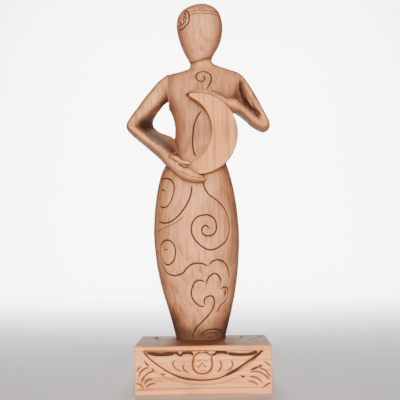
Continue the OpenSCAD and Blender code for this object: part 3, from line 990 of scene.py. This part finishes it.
def fan(count):
    """Directions spread evenly over a half sphere, thicker towards its pole."""
    out = []
    for i in range(count):
        rise = math.sqrt(1 - (i + 0.5) / count)
        turn = i * math.radians(137.5)
        flat = math.sqrt(1 - rise * rise)
        out.append(Vector((flat * math.cos(turn), flat * math.sin(turn), rise)))
    return out


def skin_of(objs):
    """One ray target made of all these pieces."""
    points = []
    faces = []
    for obj in objs:
        start = len(points)
        points += [v.co.copy() for v in obj.data.vertices]
        faces += [[start + i for i in f.vertices] for f in obj.data.polygons]
    return BVHTree.FromPolygons(points, faces)


def kept(place):
    """How much of the hollows' darkening is kept: less at the left elbow and under the chin."""
    if place.x > ELBOW_START and place.z < ARMPITS:
        return 1 - 0.75 * min(1.0, (place.x - ELBOW_START) / ELBOW_FADE)
    return 0.45 if place.z > NECK else 1.0


def measure_hollows(obj, skin, reach=0.022, rays=fan(14)):
    """Stores how closed in each point is, evened out three times, and its painted shade."""
    mesh = obj.data
    found = []
    for v in mesh.vertices:
        turn = v.normal.to_track_quat("Z", "Y")
        start = v.co + v.normal * 0.0004
        total = 0.0
        for ray in rays:
            d = skin.ray_cast(start, turn @ ray, reach)[3]
            if d is not None:
                total += 1 - d / reach
        seam = any(abs(v.co.x - joint / MM_PER_METRE) < 0.0009 for joint in (RIGHT_JOINT, LEFT_JOINT))
        found.append(0.1 if seam and v.co.z > ARMPITS else total / len(rays) * kept(v.co))
    for _ in range(3):
        sums = [0.0] * len(found)
        counts = [0] * len(found)
        for e in mesh.edges:
            a, b = e.vertices
            sums[a] += found[b]
            sums[b] += found[a]
            counts[a] += 1
            counts[b] += 1
        found = [(f + s) / (1 + c) for f, s, c in zip(found, sums, counts)]
    turned = [1 - abs(v.normal.y) for v in mesh.vertices]
    if obj == block:
        # on the flat block the hollows are darkened less and the painted shade is weaker
        found = [f * 0.4 for f in found]
        turned = [t * 0.5 for t in turned]
    if obj == figure:
        # painted shade on the chest and waist, as if the arms and the moon shaded them
        chest = [CHEST_SHADE * math.exp(-((v.co.z - CHEST_MIDDLE) / CHEST_REACH) ** 4)
                 for v in mesh.vertices]
        turned = [t + c for t, c in zip(turned, chest)]
    mesh.attributes.new("hollow", "FLOAT", "POINT").data.foreach_set("value", found)
    mesh.attributes.new("painted_shade", "FLOAT", "POINT").data.foreach_set("value", turned)
    print(f"{obj.name}: hollows up to {max(found):.2f}")


wooden = [figure, right_arm, left_arm, moon, block]
everything = skin_of(wooden)
for obj in wooden:
    measure_hollows(obj, everything)

# %% [markdown]
# ## The joinery
# Dowels, pins and the screw stay as CAD parts, because they are plain turned shapes
# that are almost wholly hidden once the figure is glued. They still get their own finish.

# %% Finish the hidden parts
for name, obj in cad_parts.items():
    if "dowel" in name or "pin" in name:
        obj.data.materials.clear()
        obj.data.materials.append(DOWEL_WOOD)
    elif "screw" in name:
        obj.data.materials.clear()
        obj.data.materials.append(SCREW_STEEL)
    else:
        continue
    print("finished", name)

# %% [markdown]
# ## Floor and light
# The figure stands on a pale sweep, a floor that curves up behind like a sheet of
# paper. A low soft light in front, a little to the left, models the carving. Two lights
# brighten the backdrop and one washes the floor behind the figure. The sky is pale to
# the camera, but faint as a light, so that the hollows stay dark.

# %% Build the stage
def sweep():
    """A strip of floor 4 m long and 1.8 m wide, with its far end turned up by 1.25 m."""
    bm = bmesh.new()
    bmesh.ops.create_grid(bm, x_segments=1, y_segments=1, size=2.0)
    bmesh.ops.scale(bm, vec=(0.45, 1, 1), verts=bm.verts)
    back = [e for e in bm.edges if all(v.co.y > 1.9 for v in e.verts)]
    up = bmesh.ops.extrude_edge_only(bm, edges=back)["geom"]
    bmesh.ops.translate(bm, vec=(0, 0, 1.25), verts=[v for v in up if isinstance(v, bmesh.types.BMVert)])
    bmesh.ops.bevel(bm, geom=back, offset=0.8, offset_type="OFFSET", affect="EDGES", segments=16,
                    profile=0.5, material=-1)
    for f in bm.faces:
        f.smooth = True
    mesh = bpy.data.meshes.new("sweep")
    bm.to_mesh(mesh)
    bm.free()
    return bpy.data.objects.new("studio_sweep", mesh)


PAPER, tree, shader = new_material("matt_paper")
place = add(tree, "ShaderNodeTexCoord").outputs["Object"]
fibre = add(tree, "ShaderNodeTexNoise", {"Vector": place, "Scale": 400.0})
shade = add(tree, "ShaderNodeValToRGB", {"Fac": fibre.outputs["Fac"]})
shade.color_ramp.elements[0].color = linear("e2e1e0")
shade.color_ramp.elements[1].color = linear("e9e8e8")
tree.links.new(shade.outputs["Color"], shader.inputs["Base Color"])
shader.inputs["Roughness"].default_value = 0.9
floor = sweep()
bpy.context.collection.objects.link(floor)
floor.data.materials.append(PAPER)


def soft_light(name, place, target, size, power, colour):
    """A square lamp that looks at target. size is in metres and power in watts."""
    lamp = bpy.data.lights.new(name, "AREA")
    lamp.shape = "SQUARE"
    lamp.size = size
    lamp.energy = power
    lamp.color = linear(colour)[:3]
    obj = bpy.data.objects.new(name, lamp)
    obj.location = place
    obj.rotation_euler = (Vector(target) - Vector(place)).to_track_quat("-Z", "Y").to_euler()
    bpy.context.collection.objects.link(obj)


soft_light("key", (-0.03, -1.25, 0.13), (0, 0, 0.15), 0.26, 41, "fff5ec")
soft_light("backdrop_left", (-0.6, 1.0, 0.9), (0, 2.0, 0.4), 0.5, 80, "ffffff")
soft_light("backdrop_right", (0.6, 1.0, 0.9), (0, 2.0, 0.4), 0.5, 80, "ffffff")
soft_light("floor_wash", (0, 0.95, 0.9), (0, 0.85, 0), 0.7, 12, "ffffff")
world = bpy.data.worlds.new("pale_sky")
world.use_nodes = True
tree = world.node_tree
sky = tree.nodes["Background"]
sky.inputs["Color"].default_value = linear("fafbff")
# the sky looks pale to the camera, but lights the wood only faintly
seen = add(tree, "ShaderNodeLightPath").outputs["Is Camera Ray"]
tree.links.new(ranged(tree, seen, 0.0, 1.0, 0.04, 1.0), sky.inputs["Strength"])
bpy.context.scene.world = world

# %% [markdown]
# ## Camera
# The camera stands about half a metre away at the height of the skirt's middle and looks
# slightly up, which makes the figure tower over its block.

# %% Place the camera
lens = bpy.data.cameras.new("photo_angle")
lens.lens = 62.0
lens.sensor_width = 36.0
lens.clip_start = 0.02
camera = bpy.data.objects.new("photo_angle", lens)
tilt = Matrix.Rotation(math.radians(0.54), 4, "Z") @ Matrix.Rotation(math.radians(94.5), 4, "X")
roll = Matrix.Rotation(math.radians(-0.83), 4, "Z")
camera.matrix_world = Matrix.Translation((0.0042, -0.5373, 0.101)) @ tilt @ roll
bpy.context.collection.objects.link(camera)
bpy.context.scene.camera = camera
